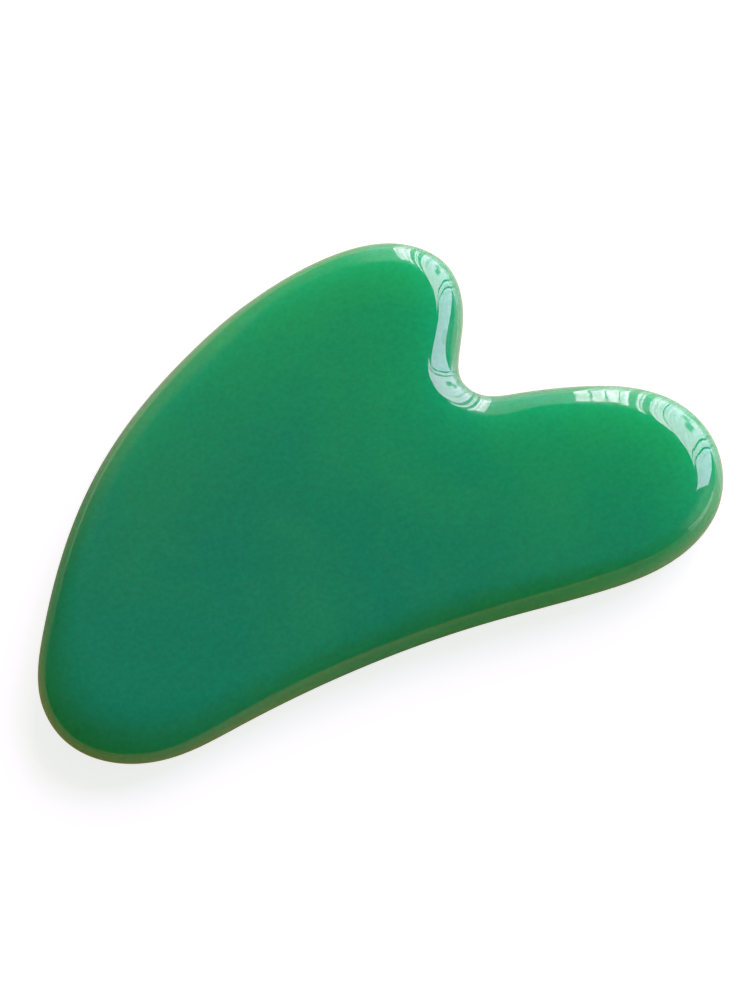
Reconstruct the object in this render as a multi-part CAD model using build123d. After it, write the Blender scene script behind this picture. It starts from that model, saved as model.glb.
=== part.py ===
from build123d import *
import math
import os

# ---- driving dimensions, in mm ----
THICKNESS = 7.0        # from the lower flat face to the upper one
ROUND_ANGLE = 90       # degrees the edge round turns from the rim up to a flat face
ROUND_STEP = 15        # degrees of that round between one loft section and the next

# The outline in its six stretches, clockwise from above. Each station is the x and y of the rim at
# mid-height, then the width of the shoulder there: how far the edge round reaches in from the rim
# before the flat face starts. The shoulder is widest round the heel and the tip of the long horn.
SHORT_HORN = [
    (-2.7, 22.3, 3.5),
    (10.9, 24.4, 3.6),
    (18.6, 22.1, 4.0),
    (21.5, 18.3, 4.1),
    (21.0, 12.5, 3.5),
    (18.4, 7.7, 3.7),
]
NOTCH = [
    (17.3, 4.4, 4.3),
    (18.4, 2.1, 4.3),
    (21.9, 0.6, 3.7),
]
LONG_HORN = [
    (28.7, -1.4, 3.8),
    (34.7, -4.2, 4.4),
    (38.7, -8.3, 4.9),
    (40.0, -14.2, 4.4),
    (37.2, -20.6, 3.4),
    (31.3, -23.9, 2.4),
]
HOLLOW_EDGE = [
    (21.5, -24.3, 2.5),
    (8.2, -22.7, 3.4),
    (-7.2, -22.0, 3.5),
    (-21.3, -22.9, 4.0),
]
HEEL = [
    (-29.4, -23.3, 5.2),
    (-34.6, -21.7, 5.5),
    (-38.9, -17.5, 5.7),
    (-39.9, -12.1, 5.5),
]
LONG_EDGE = [
    (-36.8, -4.7, 4.1),
    (-29.0, 5.9, 3.3),
    (-17.1, 15.7, 3.3),
]
STRETCHES = [SHORT_HORN, NOTCH, LONG_HORN, HOLLOW_EDGE, HEEL, LONG_EDGE]
STATIONS = [station for stretch in STRETCHES for station in stretch]


def distances_round(points):
    """Distance along the chords from the first point to each one, and back to the first."""
    distances = [0.0]
    for here, following in zip(points, points[1:] + points[:1]):
        distances.append(distances[-1] + (following - here).length)
    return distances


RIM_POINTS = [Vector(x, y) for x, y, shoulder in STATIONS]
SHOULDERS = [shoulder for x, y, shoulder in STATIONS]
SPLINE_PARAMETERS = distances_round(RIM_POINTS)


def closed_curve(points):
    """Smooth closed curve through one point at each station, spaced as the rim's stations are."""
    return Edge.make_spline(points, periodic=True, parameters=SPLINE_PARAMETERS)


def inward_directions():
    """Unit vector at each station, square to the rim and towards the middle of the board."""
    rim = closed_curve(RIM_POINTS)
    return [rim.tangent_at(point).rotate(Axis.Z, -90) for point in RIM_POINTS]


INWARD = inward_directions()


def outline(points):
    """The closed curve through these points, with one edge for each stretch of the outline."""
    closed = closed_curve(points)
    ring = points + points[:1]
    edges = []
    start = 0
    for stretch in STRETCHES:
        end = start + len(stretch)
        end_slopes = [closed.derivative_at(ring[start], 1), closed.derivative_at(ring[end], 1)]
        edges.append(Edge.make_spline(
            ring[start:end + 1],
            tangents=end_slopes,
            parameters=SPLINE_PARAMETERS[start:end + 1],
            scale=False,
        ))
        start = end
    return Wire(edges)


def section(angle):
    """Outline of the board at the height where the edge round has turned this far from the rim."""
    reach = 1 - math.cos(math.radians(angle))
    height = THICKNESS / 2 * (1 + math.sin(math.radians(angle)))
    return outline([
        Vector(point.X, point.Y, height) + inward * (shoulder * reach)
        for point, inward, shoulder in zip(RIM_POINTS, INWARD, SHOULDERS)
    ])


def board():
    """The whole scraper: two flat faces joined all round by an edge rounded from face to face."""
    angles = range(0, ROUND_ANGLE + ROUND_STEP, ROUND_STEP)
    upper_half = Solid.make_loft([section(angle) for angle in angles])
    lower_half = upper_half.mirror(Plane.XY.offset(THICKNESS / 2))
    whole = upper_half + lower_half
    middle = whole.bounding_box().center()
    return whole.moved(Location((-middle.X, -middle.Y, 0)))


os.makedirs("parts", exist_ok=True)
export_step(board(), "parts/scraper_board.step")
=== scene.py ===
import math

import bpy
import numpy as np
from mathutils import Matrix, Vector
from mathutils.geometry import delaunay_2d_cdt


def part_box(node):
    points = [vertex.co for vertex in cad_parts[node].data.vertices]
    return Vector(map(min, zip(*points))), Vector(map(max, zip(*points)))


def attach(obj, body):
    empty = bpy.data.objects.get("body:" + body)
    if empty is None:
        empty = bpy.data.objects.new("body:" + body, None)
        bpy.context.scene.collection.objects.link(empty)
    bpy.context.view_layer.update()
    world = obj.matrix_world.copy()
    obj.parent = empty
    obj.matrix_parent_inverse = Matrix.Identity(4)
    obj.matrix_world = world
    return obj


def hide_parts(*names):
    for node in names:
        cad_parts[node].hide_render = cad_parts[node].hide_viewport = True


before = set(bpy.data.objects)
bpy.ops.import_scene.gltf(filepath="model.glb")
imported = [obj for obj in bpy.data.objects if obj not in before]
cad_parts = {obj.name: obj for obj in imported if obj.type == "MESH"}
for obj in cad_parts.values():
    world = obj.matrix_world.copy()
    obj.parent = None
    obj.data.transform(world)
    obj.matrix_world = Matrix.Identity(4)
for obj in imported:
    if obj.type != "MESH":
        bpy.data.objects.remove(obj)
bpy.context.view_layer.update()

MM = 0.001
NODE = "scraper_board"

# ---- how finely the board is meshed ----
ROUND_POINTS = 900         # points round the outline
PROFILE_STEPS = 36         # steps of the edge round, from one flat face to the other
FACE_SPACING = 0.9 * MM    # between the points inside a flat face
EDGE_GAP = 0.55            # of that spacing, kept free beside the face's edge
CURVE_SAMPLES = 20000      # along an outline, to space its points evenly
SAME_PLACE = 0.002 * MM    # CAD points closer than this are one point
WIDTH_REACH = 12           # rim points either side that smooth the edge round's width
WIDTH_SPREAD = 5.0         # the smoothing's standard deviation, in rim points

# ---- how far the polished faces are from perfect ----
FACE_CROWN = 0.05 * MM     # how much the middle of a face stands above its edge
FACE_WAVE = 0.006 * MM     # depth of the polisher's waves
FACE_RISE = 6 * MM         # how far in from its edge a face reaches most of its height


# ---------------------------------------------------------------- outline from the CAD node

def cad_loop(height):
    """The CAD node's outline at a height: x, y points in order round the middle, none twice."""
    points = np.array([v.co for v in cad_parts[NODE].data.vertices])
    level = points[np.abs(points[:, 2] - height) < SAME_PLACE][:, :2]
    level = level[np.argsort(np.arctan2(level[:, 1], level[:, 0]))]
    gaps = np.linalg.norm(level - np.roll(level, 1, axis=0), axis=1)
    return level[gaps > SAME_PLACE]


def closed_spline(points, count):
    """Evenly spaced points on the smooth closed cubic curve through these ones."""
    spans = np.linalg.norm(np.roll(points, -1, axis=0) - points, axis=1)
    before = np.roll(spans, 1)
    rows = np.arange(len(points))
    matrix = np.zeros((len(points), len(points)))
    matrix[rows, rows - 1] = before / 6
    matrix[rows, rows] = (before + spans) / 3
    matrix[rows, (rows + 1) % len(points)] = spans / 6
    slopes = (np.roll(points, -1, axis=0) - points) / spans[:, None]
    bends = np.linalg.solve(matrix, slopes - np.roll(slopes, 1, axis=0))
    starts = np.concatenate([[0.0], np.cumsum(spans)])

    def at(distance):
        i = np.clip(np.searchsorted(starts, distance, side="right") - 1, 0, len(points) - 1)
        j = (i + 1) % len(points)
        h = spans[i][:, None]
        a = (starts[i + 1] - distance)[:, None] / h
        b = 1 - a
        bow = ((a**3 - a) * bends[i] + (b**3 - b) * bends[j]) * h * h / 6
        return a * points[i] + b * points[j] + bow

    samples = np.linspace(0, starts[-1], CURVE_SAMPLES + 1)
    dense = at(samples[:-1])
    steps = np.linalg.norm(np.roll(dense, -1, axis=0) - dense, axis=1)
    lengths = np.concatenate([[0.0], np.cumsum(steps)])
    wanted = np.linspace(0, lengths[-1], count + 1)[:-1]
    return at(np.interp(wanted, lengths, samples))


def inward_normals(loop):
    """Unit vectors in plan, square to an anticlockwise loop and pointing into it."""
    along = np.roll(loop, -1, axis=0) - np.roll(loop, 1, axis=0)
    along /= np.linalg.norm(along, axis=1)[:, None]
    return np.stack([-along[:, 1], along[:, 0]], axis=1)


def cross2(a, b):
    """The upright part of the cross product of plan vectors."""
    return a[..., 0] * b[..., 1] - a[..., 1] * b[..., 0]


def shoulder_widths(rim, inward, flat):
    """How far in from each rim point, straight across, the flat face's edge is."""
    edge = np.roll(flat, -1, axis=0) - flat
    widths = np.empty(len(rim))
    for i, (point, way) in enumerate(zip(rim, inward)):
        to_flat = flat - point
        bottom = cross2(way, edge)
        bottom = np.where(np.abs(bottom) < 1e-15, 1e-15, bottom)
        distance = cross2(to_flat, edge) / bottom
        share = cross2(to_flat, way) / bottom
        hit = (share >= 0) & (share <= 1) & (distance > 0)
        widths[i] = distance[hit].min()
    smooth = np.exp(-0.5 * (np.arange(-WIDTH_REACH, WIDTH_REACH + 1) / WIDTH_SPREAD) ** 2)
    smooth /= smooth.sum()
    padded = np.concatenate([widths[-WIDTH_REACH:], widths, widths[:WIDTH_REACH]])
    return np.convolve(padded, smooth, mode="valid")


# ---------------------------------------------------------------- the board's mesh

def face_relief(x, y, depth):
    """Height of a polished face above true, depth metres in from the face's own edge."""
    rise = 1 - np.exp(-depth / FACE_RISE)
    waves = (
        np.sin(x / (5.1 * MM) + 0.6 * np.sin(y / (7.3 * MM)))
        + np.sin(y / (4.3 * MM) + 0.8 * np.sin(x / (8.9 * MM)) + 1.7)
    )
    return rise * (FACE_CROWN + FACE_WAVE * waves)


def inside(loop, points):
    """True for each point that a closed loop goes round."""
    nxt = np.roll(loop, -1, axis=0)
    within = np.zeros(len(points), bool)
    for (x1, y1), (x2, y2) in zip(loop, nxt):
        if y1 == y2:
            continue
        spans = (points[:, 1] < y1) != (points[:, 1] < y2)
        cut = x1 + (points[:, 1] - y1) * (x2 - x1) / (y2 - y1)
        within ^= spans & (points[:, 0] < cut)
    return within


def face_points(loop):
    """Points of an even triangular grid inside the flat face, clear of its edge."""
    low, high = loop.min(0), loop.max(0)
    rows = np.arange(low[1], high[1], FACE_SPACING * math.sqrt(0.75))
    grid = []
    for i, y in enumerate(rows):
        shift = 0.5 * FACE_SPACING * (i % 2)
        grid += [(x, y) for x in np.arange(low[0] + shift, high[0], FACE_SPACING)]
    grid = np.array(grid)
    grid = grid[inside(loop, grid)]
    depth = np.array([np.linalg.norm(loop - p, axis=1).min() for p in grid])
    keep = depth > EDGE_GAP * FACE_SPACING
    return grid[keep], depth[keep]


def board_mesh():
    """The whole board as one closed mesh: the edge round in rings, and two triangulated faces."""
    low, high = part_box(NODE)
    middle, half = (low.z + high.z) / 2, (high.z - low.z) / 2
    rim = closed_spline(cad_loop(middle), ROUND_POINTS)
    flat = closed_spline(cad_loop(high.z), ROUND_POINTS * 4)
    inward = inward_normals(rim)
    widths = shoulder_widths(rim, inward, flat)

    turns = np.radians(np.linspace(-90, 90, PROFILE_STEPS + 1))
    rings = []
    for turn in turns:
        plan = rim + inward * (widths * (1 - math.cos(turn)))[:, None]
        height = np.full(len(rim), middle + half * math.sin(turn))
        rings.append(np.column_stack([plan, height]))
    points = np.concatenate(rings)
    faces = []
    for ring in range(PROFILE_STEPS):
        here = ring * ROUND_POINTS + np.arange(ROUND_POINTS)
        beside = ring * ROUND_POINTS + (np.arange(ROUND_POINTS) + 1) % ROUND_POINTS
        above = here + ROUND_POINTS
        faces += np.stack([here, beside, beside + ROUND_POINTS, above], axis=1).tolist()

    edge = rings[-1][:, :2]
    inner, depth = face_points(edge)
    plan = [Vector(p) for p in np.concatenate([edge, inner])]
    border = [(i, (i + 1) % ROUND_POINTS) for i in range(ROUND_POINTS)]
    triangles = delaunay_2d_cdt(plan, border, [], 1, 1e-9)[2]
    relief = face_relief(inner[:, 0], inner[:, 1], depth)
    for side in (1, -1):
        first_inner = len(points)
        height = middle + side * (half + (relief if side > 0 else 0))
        height = np.broadcast_to(height, len(inner))
        points = np.concatenate([points, np.column_stack([inner, height])])
        first_edge = PROFILE_STEPS * ROUND_POINTS if side > 0 else 0
        for triangle in triangles:
            corners = [
                first_edge + i if i < ROUND_POINTS else first_inner + i - ROUND_POINTS
                for i in triangle
            ]
            faces.append(corners if side > 0 else corners[::-1])

    mesh = bpy.data.meshes.new("board")
    mesh.from_pydata(points.tolist(), [], faces)
    mesh.validate()
    mesh.update()
    mesh.shade_smooth()
    return mesh


board = bpy.data.objects.new("board", board_mesh())
bpy.context.scene.collection.objects.link(board)
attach(board, "root")
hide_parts(NODE)


# ---------------------------------------------------------------- shader helpers

def add_node(tree, kind, inputs=None, **settings):
    """A new shader node: its settings, then its inputs, each a plain value or a socket to link."""
    made = tree.nodes.new(kind)
    for name, value in settings.items():
        setattr(made, name, value)
    for name, value in (inputs or {}).items():
        if isinstance(value, bpy.types.NodeSocket):
            tree.links.new(value, made.inputs[name])
        else:
            made.inputs[name].default_value = value
    return made


def calc(tree, operation, *values):
    """The output of a Math node."""
    made = add_node(tree, "ShaderNodeMath", dict(enumerate(values)), operation=operation)
    return made.outputs[0]


def blend_colours(tree, share, first, second, blend_type="MIX"):
    """The output of a colour Mix node."""
    made = add_node(tree, "ShaderNodeMix", data_type="RGBA", blend_type=blend_type)
    for index, value in ((0, share), (6, first), (7, second)):
        if isinstance(value, bpy.types.NodeSocket):
            tree.links.new(value, made.inputs[index])
        else:
            made.inputs[index].default_value = value
    return made.outputs[2]


def remap(tree, value, low, high, to_low=0.0, to_high=1.0, smooth=True):
    """Brings a value's range to another, clamped."""
    kind = "SMOOTHSTEP" if smooth else "LINEAR"
    inputs = {0: value, 1: low, 2: high, 3: to_low, 4: to_high}
    return add_node(tree, "ShaderNodeMapRange", inputs, interpolation_type=kind).outputs[0]


def noise(tree, where, size, detail=2.0, roughness=0.5, distortion=0.0):
    """Noise whose patches are about size metres across."""
    inputs = {
        "Vector": where, "Scale": 1 / size, "Detail": detail,
        "Roughness": roughness, "Distortion": distortion,
    }
    return add_node(tree, "ShaderNodeTexNoise", inputs).outputs["Fac"]


def grey(tree, tone):
    """A grey colour of this tone."""
    made = add_node(tree, "ShaderNodeCombineColor", {"Red": tone, "Green": tone, "Blue": tone})
    return made.outputs[0]


# ---------------------------------------------------------------- the stone

# Base colours. The glow inside makes the stone look darker and bluer than these.
STONE_GREEN = (0.018, 0.394, 0.165, 1)
STONE_TEAL = (0.010, 0.361, 0.176, 1)
STONE_LIGHT = (0.026, 0.420, 0.177, 1)
GLOW_REACH = (3 * MM, 41 * MM, 24 * MM)   # how far red, green and blue light travel inside
CLOUD_SIZE = 24 * MM
DRIFT_SIZE = 9 * MM
GRAIN_SIZE = 0.55 * MM
SMEAR_SIZE = 13 * MM
PEEL_SIZE = 1.6 * MM
PEEL_DEPTH = 0.01 * MM
SMOOTHEST, ROUGHEST = 0.018, 0.045   # shader roughness between and in the smears


def stone_material():
    """Polished translucent green stone: cloudy, finely grained, with faint smears in its polish."""
    material = bpy.data.materials.new("polished_green_stone")
    material.use_nodes = True
    tree = material.node_tree
    shader = tree.nodes["Principled BSDF"]
    place = add_node(tree, "ShaderNodeTexCoord").outputs["Object"]

    # colour: broad clouds of teal, lighter drifts, then a fine grain
    clouds = noise(tree, place, CLOUD_SIZE, detail=3.0, distortion=0.7)
    colour = blend_colours(tree, remap(tree, clouds, 0.36, 0.66), STONE_TEAL, STONE_GREEN)
    drifts = noise(tree, place, DRIFT_SIZE, detail=5.0, roughness=0.6, distortion=1.2)
    colour = blend_colours(tree, remap(tree, drifts, 0.52, 0.80, 0.0, 0.35), colour, STONE_LIGHT)
    grain = noise(tree, place, GRAIN_SIZE, detail=3.0, roughness=0.7)
    grain_tone = remap(tree, grain, 0.3, 0.7, 0.90, 1.10, smooth=False)
    colour = blend_colours(tree, 1.0, colour, grey(tree, grain_tone), "MULTIPLY")
    tree.links.new(colour, shader.inputs["Base Color"])

    # polish: nearly a mirror, with faint smears
    smears = noise(tree, place, SMEAR_SIZE, detail=4.0, distortion=2.0)
    polish = remap(tree, smears, 0.35, 0.75, SMOOTHEST, ROUGHEST)
    tree.links.new(polish, shader.inputs["Roughness"])

    # surface: the polisher's slight orange peel
    peel = noise(tree, place, PEEL_SIZE, detail=2.0)
    bump = add_node(
        tree, "ShaderNodeBump", {"Height": peel, "Strength": 0.25, "Distance": PEEL_DEPTH}
    )
    tree.links.new(bump.outputs["Normal"], shader.inputs["Normal"])

    shader.inputs["IOR"].default_value = 1.6
    shader.inputs["Specular IOR Level"].default_value = 0.8
    shader.inputs["Subsurface Weight"].default_value = 1.0
    shader.inputs["Subsurface Radius"].default_value = GLOW_REACH
    shader.inputs["Subsurface Scale"].default_value = 1.0
    return material


board.data.materials.append(stone_material())


# ---------------------------------------------------------------- floor

WINDOW_SIDE = 50.0         # degrees; the direction from the board to the middle of the windows

FLOOR_HALF = 20.0          # metres
FLOOR_DROP = 0.05 * MM     # below the board, so that no two faces share a plane
FLOOR_PALE = (0.50, 0.50, 0.50, 1)
FLOOR_GLOW = 0.80          # its own light, to the camera only
# What the stone sees in its place is a glossy table. These are its top and the painted light it
# gives off, with painted shade close beside the board.
TABLE_TOP = (0.38, 0.37, 0.25, 1)
TABLE_ROUGHNESS = 0.08
TABLE_BROWN = (0.40, 0.14, 0.045, 1)
TABLE_DIM = (0.12, 0.12, 0.045, 1)
TABLE_LIT = (0.72, 0.44, 0.35, 1)
TABLE_SHADE = (0.75, 0.75, 0.22, 1)
# How far towards the windows the light changes from brown to dim, and from dim to lit.
BROWN_TO_DIM = (-36 * MM, -20 * MM)
DIM_TO_LIT = (-12 * MM, 20 * MM)
SHADE_REACH = 3 * MM


def add_floor():
    """A wide pale floor. To the stone it is a glossy table that gives off painted warm light of its
    own, with painted shade beside the board.
    """
    mesh = bpy.data.meshes.new("floor")
    half, low = FLOOR_HALF, -FLOOR_DROP
    corners = [(-half, -half, low), (half, -half, low), (half, half, low), (-half, half, low)]
    mesh.from_pydata(corners, [], [(0, 1, 2, 3)])
    floor = bpy.data.objects.new("floor", mesh)
    bpy.context.scene.collection.objects.link(floor)

    material = bpy.data.materials.new("floor")
    material.use_nodes = True
    tree = material.node_tree
    tree.nodes.clear()
    matt = add_node(tree, "ShaderNodeBsdfDiffuse", {"Color": FLOOR_PALE})
    lit = add_node(tree, "ShaderNodeEmission", {"Color": (1, 1, 1, 1), "Strength": FLOOR_GLOW})
    pale = add_node(tree, "ShaderNodeAddShader", {0: matt.outputs[0], 1: lit.outputs[0]})
    gloss = add_node(
        tree, "ShaderNodeBsdfPrincipled", {"Base Color": TABLE_TOP, "Roughness": TABLE_ROUGHNESS}
    )

    # painted light: the table glows brightest on the window side and brown at the board's heel
    spot = add_node(tree, "ShaderNodeTexCoord").outputs["Object"]
    side = math.radians(WINDOW_SIDE)
    towards = add_node(
        tree, "ShaderNodeVectorMath", {0: spot, 1: (math.cos(side), math.sin(side), 0.0)},
        operation="DOT_PRODUCT",
    ).outputs["Value"]
    past_brown = remap(tree, towards, *BROWN_TO_DIM)
    past_dim = remap(tree, towards, *DIM_TO_LIT)
    painted_light_colour = blend_colours(tree, past_brown, TABLE_BROWN, TABLE_DIM)
    painted_light_colour = blend_colours(tree, past_dim, painted_light_colour, TABLE_LIT)

    # painted shade: the table's glow is darker and browner close beside the board
    open_sky = add_node(
        tree, "ShaderNodeAmbientOcclusion", {"Distance": SHADE_REACH}, samples=8
    ).outputs["AO"]
    painted_contact_shade = remap(tree, open_sky, 0.55, 0.95, 1.0, 0.0)
    painted_light_colour = blend_colours(tree, painted_contact_shade, painted_light_colour, TABLE_SHADE, "MULTIPLY")
    # painted light: the floor gives this off to the stone, though it is no lamp
    painted_table_light = add_node(tree, "ShaderNodeEmission", {"Color": painted_light_colour, "Strength": 1.0})

    table = add_node(tree, "ShaderNodeAddShader", {0: gloss.outputs[0], 1: painted_table_light.outputs[0]})
    seen = add_node(tree, "ShaderNodeLightPath").outputs["Is Camera Ray"]
    both = add_node(
        tree, "ShaderNodeMixShader", {0: seen, 1: table.outputs[0], 2: pale.outputs[0]}
    )
    output = add_node(tree, "ShaderNodeOutputMaterial")
    tree.links.new(both.outputs[0], output.inputs["Surface"])
    mesh.materials.append(material)


add_floor()


# ---------------------------------------------------------------- light

ROOM_TILT = 12.0           # degrees that the room's zenith leans over towards the windows

# The windows' panes, right of the camera and beyond the board. Each: its two azimuths and two
# elevations in degrees in the tilted room, how its sill climbs with azimuth, which of its sides
# lean over high up (0 or 1 each), and its radiance.
WINDOWS = [
    (63.75, 64.80, -30, 56, 0.0, 0, 0, (8.0, 6.2, 7.6)),
    (61.95, 63.45, -30, 56, 0.0, 0, 0, (8.0, 6.2, 7.6)),
    (59.30, 61.65, -30, 55, 0.0, 0, 0, (8.0, 6.2, 7.6)),
    (56.80, 59.00, -30, 60, 0.0, 0, 0, (7.8, 6.1, 7.6)),
    (52.90, 54.10, -30, 68, 0.0, 0, 0, (7.0, 5.6, 6.9)),
    (51.70, 52.50, -30, 68, 0.0, 0, 0, (6.4, 5.0, 6.3)),
    (43.20, 48.80, -20, 71, 0.0, 0, 0, (6.1, 4.5, 6.1)),
    (19.60, 42.70, 4, 73, 0.0, 1, 0, (5.5, 4.2, 5.9)),
    (14.20, 18.20, 0, 73, 0.0, 1, 1, (4.8, 4.0, 5.6)),
    (-13.5, 12.80, 31, 67, -0.8, 1, 1, (4.6, 3.9, 5.8)),
]
# Dimmer parts of the room: the first five numbers as above, then the width of their soft edges.
WALLS = [
    (45.0, 78.0, -30, 64, 0.0, 3.0, (0.90, 0.75, 0.80)),
    (78.0, 120.0, -30, 62, 0.0, 12.0, (0.45, 0.42, 0.13)),
    (-50.0, -10.0, -10, 45, 0.0, 8.0, (0.50, 0.48, 0.38)),
    (-49.0, -15.0, 2.5, 8, 0.0, 1.0, (1.80, 1.65, 1.45)),
]
# Dark things that stand in the windows, in the same terms as the walls.
SPOTS = [
    (26.0, 31.5, 24, 41, 0.0, 1.2, (0.9, 0.9, 1.0)),
    (30.5, 35.0, 14, 27, 0.0, 1.5, (1.4, 1.4, 1.5)),
]
LEAN_FROM = 45.0          # degrees up, where leaning sides start to lean
LEAN = 0.012              # degrees over, for a degree up squared
PANE_SOFT = 0.12          # degrees
CURTAIN_FOLD = 1.0        # degrees of azimuth
CURTAIN_DRIFT = 0.02      # how much the folds wander with height
CURTAIN_SHADE = 0.66      # of the light, in a fold
ROOM_LOW = (0.08, 0.09, 0.045)
ROOM_HIGH = (0.05, 0.11, 0.13)
CEILING_RISE = (40.0, 76.0)    # degrees up, over which the low colour turns into the high one


def add_world():
    """Windows, the pale wall beside them, a dim bluish ceiling and a dark far side of the room."""
    scene = bpy.context.scene
    world = scene.world or bpy.data.worlds.new("room")
    scene.world = world
    world.use_nodes = True
    tree = world.node_tree
    tree.nodes.clear()
    side = math.radians(WINDOW_SIDE)
    upright = add_node(
        tree, "ShaderNodeVectorRotate",
        {
            "Vector": add_node(tree, "ShaderNodeTexCoord").outputs["Generated"],
            "Axis": (math.sin(side), -math.cos(side), 0.0),
            "Angle": math.radians(ROOM_TILT),
        },
        rotation_type="AXIS_ANGLE",
    ).outputs[0]
    parts = add_node(tree, "ShaderNodeSeparateXYZ", {"Vector": upright}).outputs
    azimuth = calc(tree, "DEGREES", calc(tree, "ARCTAN2", parts["Y"], parts["X"]))
    elevation = calc(tree, "DEGREES", calc(tree, "ARCSINE", parts["Z"]))

    high_up = calc(tree, "MAXIMUM", calc(tree, "SUBTRACT", elevation, LEAN_FROM), 0.0)
    lean = calc(tree, "MULTIPLY", calc(tree, "MULTIPLY", high_up, high_up), LEAN)
    leaning = calc(tree, "SUBTRACT", azimuth, lean)

    def patch(az_low, az_high, el_low, el_high, sill_slope, soft, low_leans=0, high_leans=0):
        """1 inside a patch of the room and 0 outside, with soft edges."""
        along = calc(tree, "SUBTRACT", azimuth, az_low)
        from_sill = calc(tree, "SUBTRACT", elevation, calc(tree, "MULTIPLY", along, sill_slope))
        low_side = leaning if low_leans else azimuth
        high_side = leaning if high_leans else azimuth
        masks = (
            remap(tree, low_side, az_low - soft, az_low + soft),
            remap(tree, high_side, az_high - soft, az_high + soft, 1.0, 0.0),
            remap(tree, from_sill, el_low - 2 * soft, el_low + 2 * soft),
            remap(tree, elevation, el_high - 2 * soft, el_high + 2 * soft, 1.0, 0.0),
        )
        product = masks[0]
        for mask in masks[1:]:
            product = calc(tree, "MULTIPLY", product, mask)
        return product

    # sheer curtains: narrow upright folds
    folds_at = add_node(
        tree, "ShaderNodeCombineXYZ",
        {"X": azimuth, "Y": calc(tree, "MULTIPLY", elevation, CURTAIN_DRIFT)},
    ).outputs[0]
    folds = noise(tree, folds_at, CURTAIN_FOLD, detail=1.0)
    shade = remap(tree, folds, 0.35, 0.65, CURTAIN_SHADE, 1.0)
    curtain = grey(tree, shade)

    upward = remap(tree, elevation, *CEILING_RISE)
    room = blend_colours(tree, upward, (*ROOM_LOW, 1), (*ROOM_HIGH, 1))
    for *edges, radiance in WALLS:
        room = blend_colours(tree, patch(*edges), room, (*radiance, 1))
    for *edges, low_leans, high_leans, radiance in WINDOWS:
        mask = patch(*edges, PANE_SOFT, low_leans, high_leans)
        pane = blend_colours(tree, 1.0, (*radiance, 1), curtain, "MULTIPLY")
        room = blend_colours(tree, mask, room, pane)
    for *edges, radiance in SPOTS:
        room = blend_colours(tree, patch(*edges), room, (*radiance, 1))
    inside_room = add_node(tree, "ShaderNodeBackground", {"Color": room, "Strength": 1.0})
    backdrop = add_node(tree, "ShaderNodeBackground", {"Color": (1, 1, 1, 1), "Strength": 1.0})
    seen = add_node(tree, "ShaderNodeLightPath").outputs["Is Camera Ray"]
    both = add_node(
        tree, "ShaderNodeMixShader", {0: seen, 1: inside_room.outputs[0], 2: backdrop.outputs[0]}
    )
    output = add_node(tree, "ShaderNodeOutputWorld")
    tree.links.new(both.outputs[0], output.inputs["Surface"])
    scene.view_settings.view_transform = "Standard"


add_world()


# ---------------------------------------------------------------- camera

CAMERA_AZIMUTH = -23.5      # degrees; 0 looks along +Y
CAMERA_ELEVATION = 68.0     # degrees above the horizon
CAMERA_DISTANCE = 400 * MM
CAMERA_LENS = 128.9         # mm
CAMERA_SENSOR = 36          # mm
CAMERA_TARGET = (3.18 * MM, -3.35 * MM, 0)


def add_camera():
    """A long lens, well above the board and a little to its heel side."""
    azimuth, elevation = math.radians(CAMERA_AZIMUTH), math.radians(CAMERA_ELEVATION)
    back = Vector((
        math.sin(azimuth) * math.cos(elevation),
        -math.cos(azimuth) * math.cos(elevation),
        math.sin(elevation),
    ))
    camera = bpy.data.objects.new("camera", bpy.data.cameras.new("camera"))
    camera.data.lens = CAMERA_LENS
    camera.data.sensor_width = CAMERA_SENSOR
    camera.data.clip_start = 10 * MM
    camera.location = Vector(CAMERA_TARGET) + back * CAMERA_DISTANCE
    camera.rotation_mode = "QUATERNION"
    camera.rotation_quaternion = (-back).to_track_quat("-Z", "Y")
    bpy.context.scene.collection.objects.link(camera)
    bpy.context.scene.camera = camera


add_camera()
